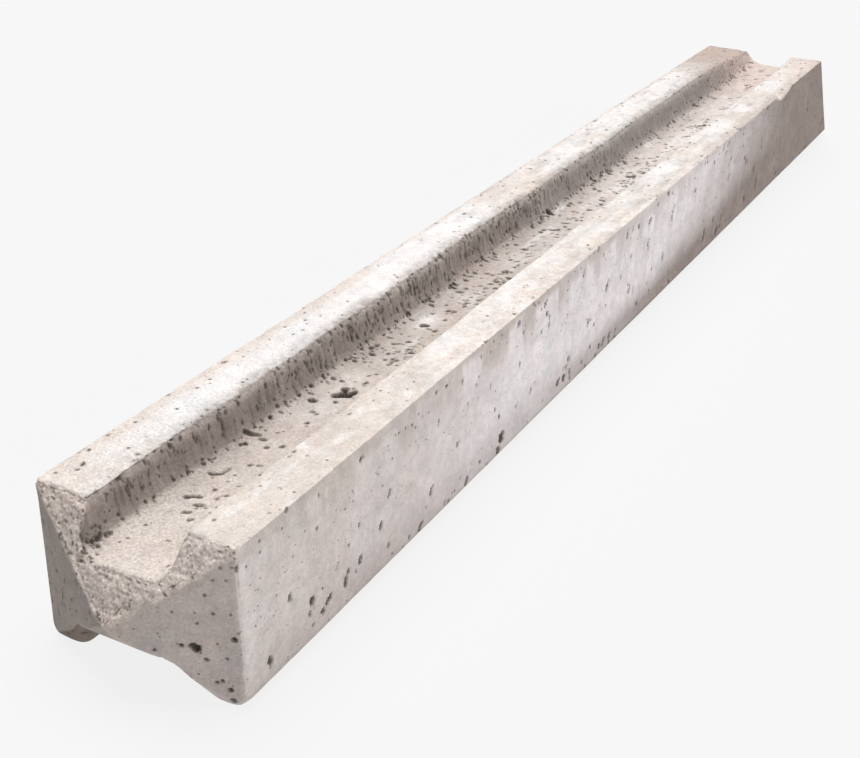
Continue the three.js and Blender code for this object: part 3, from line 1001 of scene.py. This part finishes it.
def concrete_material():
    """Weathered precast concrete: the mesh's own colours, mottled and grained, with pinholes darkened by
    painted shade, and voids darkened by dirt and painted shade.
    """
    material = new_material("weathered_concrete", {"Roughness": 0.92, "Specular IOR Level": 0.25})
    make = NodeMaker(material)
    shade, relief = concrete_pattern(make)
    colour = make.node("VectorMath")
    colour.operation = "SCALE"
    make.links.new(make.attribute("tint", "Vector"), colour.inputs[0])
    make.links.new(shade, colour.inputs["Scale"])
    # the voids take the dark void colour: their dirt and painted shade
    void = void_amount(make)
    mix = make.node("Mix")
    mix.data_type = "RGBA"
    mix.inputs["B"].default_value = (*VOID_DIRT_AND_SHADE, 1)
    make.links.new(void, mix.inputs["Factor"])
    make.links.new(colour.outputs["Vector"], mix.inputs["A"])
    make.into_shader("Base Color", mix.outputs["Result"])
    make.bump(make.math("SUBTRACT", relief, void), distance=0.0007, strength=0.85)
    return material


def steel_material():
    """Mill-scaled reinforcing steel with a bloom of rust."""
    material = new_material("rusted_steel", {})
    make = NodeMaker(material)
    patches = make.noise(90, 6)
    scale = make.node("ValToRGB")
    for stop, position, colour in zip(scale.color_ramp.elements, (0.38, 0.62), (MILL_SCALE, RUSTED_STEEL)):
        stop.position = position
        stop.color = (*colour, 1)
    make.links.new(patches, scale.inputs["Fac"])
    make.into_shader("Base Color", scale.outputs["Color"])
    make.into_shader("Metallic", make.shade(patches, 0.4, 0.65, 0.8, 0.0))
    make.into_shader("Roughness", make.shade(patches, 0.35, 0.65, 0.45, 0.9))
    make.bump(make.noise(700, 4), distance=0.0003, strength=1.0)
    return material


# -------- the casting

def add_attribute(mesh, name, kind, values):
    field = "vector" if kind == "FLOAT_VECTOR" else "value"
    attribute = mesh.attributes.new(name, kind, "POINT")
    attribute.data.foreach_set(field, np.ascontiguousarray(values, np.float32).ravel())


PALER_SIDE_VOIDS = 0.25  # millimetres that the void colour keeps back from the rims on the sides


def make_casting():
    """The worn casting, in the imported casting's place."""
    rng = np.random.default_rng(SEED)
    points, quads, triangles = post_mesh_parts()
    arris, lip = arris_and_lip(points)
    points, normals = draw_onto_surface(points, arris, lip)
    zone = zones(points, normals)
    worn, crevice_shade = wear(points, zone)
    depth, inside_rim = open_voids(points, all_voids(points, normals, zone, rng))
    shaped = points - normals * (worn + depth)[:, None]
    placed = shaped * MM + np.array([LOW.x + WEATHERING * MM, (LOW.y + HIGH.y) / 2, LOW.z])
    casting = mesh_object("post_casting", placed, quads, triangles)
    add_attribute(casting.data, "tint", "FLOAT_VECTOR", tints(points, zone, crevice_shade))
    add_attribute(casting.data, "inside_rim", "FLOAT", inside_rim - PALER_SIDE_VOIDS * zone["side"])
    add_attribute(casting.data, "grain", "FLOAT", graininess(points, zone))
    casting.data.materials.append(concrete_material())
    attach(casting, "root")
    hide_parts("concrete_post")
    return casting


# -------- the studio

FLOOR_SIZE = 16.0
FLOOR_GLOW, FLOOR_WHITE = 0.84, 0.075
BACKDROP_RADIUS, BACKDROP_GLOW = FLOOR_SIZE / 2.1, 0.93
WORLD_GREY = 0.17


def glowing_material(name, glow, white):
    """Pale paper that gives off part of its light itself, so that shadows on it stay faint."""
    return new_material(name, {
        "Base Color": (white, white, white, 1), "Roughness": 1.0, "Specular IOR Level": 0.0,
        "Emission Color": (1, 1, 1, 1), "Emission Strength": glow,
    })


def make_floor():
    bpy.ops.mesh.primitive_plane_add(size=FLOOR_SIZE, location=(0, 0, LOW.z))
    floor = bpy.context.object
    floor.name = "studio_floor"
    floor.data.materials.append(glowing_material("studio_paper", FLOOR_GLOW, FLOOR_WHITE))


def make_backdrop():
    """A pale dome for the views that look over the floor's edge. It lights nothing and shades nothing."""
    bpy.ops.mesh.primitive_uv_sphere_add(segments=48, ring_count=24, radius=BACKDROP_RADIUS)
    dome = bpy.context.object
    dome.name = "studio_backdrop"
    dome.data.materials.append(glowing_material("studio_backdrop_paper", BACKDROP_GLOW, 0.0))
    dome.visible_diffuse = False
    dome.visible_glossy = False
    dome.visible_shadow = False


def make_sun(name, direction, strength, softness):
    """A soft light from a direction, which points from the object to the light."""
    light = bpy.data.lights.new(name, "SUN")
    light.energy = strength
    light.angle = math.radians(softness)
    lamp = scene_object(name, light)
    lamp.rotation_mode = "QUATERNION"
    lamp.rotation_quaternion = Vector(direction).to_track_quat("Z", "Y")


def make_lights():
    make_sun("overhead_softbox", (0.24, 0.14, 1.0), strength=3.2, softness=50)
    make_sun("side_fill", (-0.1, -1.0, 0.27), strength=0.95, softness=35)
    world = bpy.data.worlds.new("studio")
    world.use_nodes = True
    background = world.node_tree.nodes["Background"]
    background.inputs["Color"].default_value = (WORLD_GREY, WORLD_GREY, WORLD_GREY, 1)
    bpy.context.scene.world = world


CAMERA_AIM_ALONG, CAMERA_AIM_UP = 0.2894, 0.354  # shares of the post's length and height
CAMERA_DISTANCE = 0.8124  # a share of the post's length
CAMERA_YAW, CAMERA_PITCH, CAMERA_ROLL = 28.07, 27.35, 1.21
CAMERA_LENS, CAMERA_SENSOR = 57.9, 36


def make_camera():
    """Looks down along the post from beyond its weathered end, past its right side."""
    length, height = HIGH.x - LOW.x, HIGH.z - LOW.z
    aim = Vector((LOW.x + CAMERA_AIM_ALONG * length, 0, LOW.z + CAMERA_AIM_UP * height))
    yaw, pitch, roll = (math.radians(a) for a in (CAMERA_YAW, CAMERA_PITCH, CAMERA_ROLL))
    ahead = Vector((math.cos(yaw) * math.cos(pitch), math.sin(yaw) * math.cos(pitch), -math.sin(pitch)))
    level = Vector((math.sin(yaw), -math.cos(yaw), 0))
    over = level.cross(ahead)
    right = math.cos(roll) * level + math.sin(roll) * over
    up = math.cos(roll) * over - math.sin(roll) * level
    data = bpy.data.cameras.new("camera")
    data.lens = CAMERA_LENS
    data.sensor_width = CAMERA_SENSOR
    camera = scene_object("camera", data)
    place = aim - CAMERA_DISTANCE * length * ahead
    camera.matrix_world = Matrix.Translation(place) @ Matrix((right, up, -ahead)).transposed().to_4x4()
    bpy.context.scene.camera = camera


# -------- the scene

make_camera()
make_lights()
make_floor()
make_backdrop()
make_casting()
STEEL = steel_material()
for name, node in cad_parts.items():
    if name != "concrete_post":
        for material_slot in node.material_slots:
            material_slot.material = STEEL

bpy.context.scene.view_settings.view_transform = "Standard"
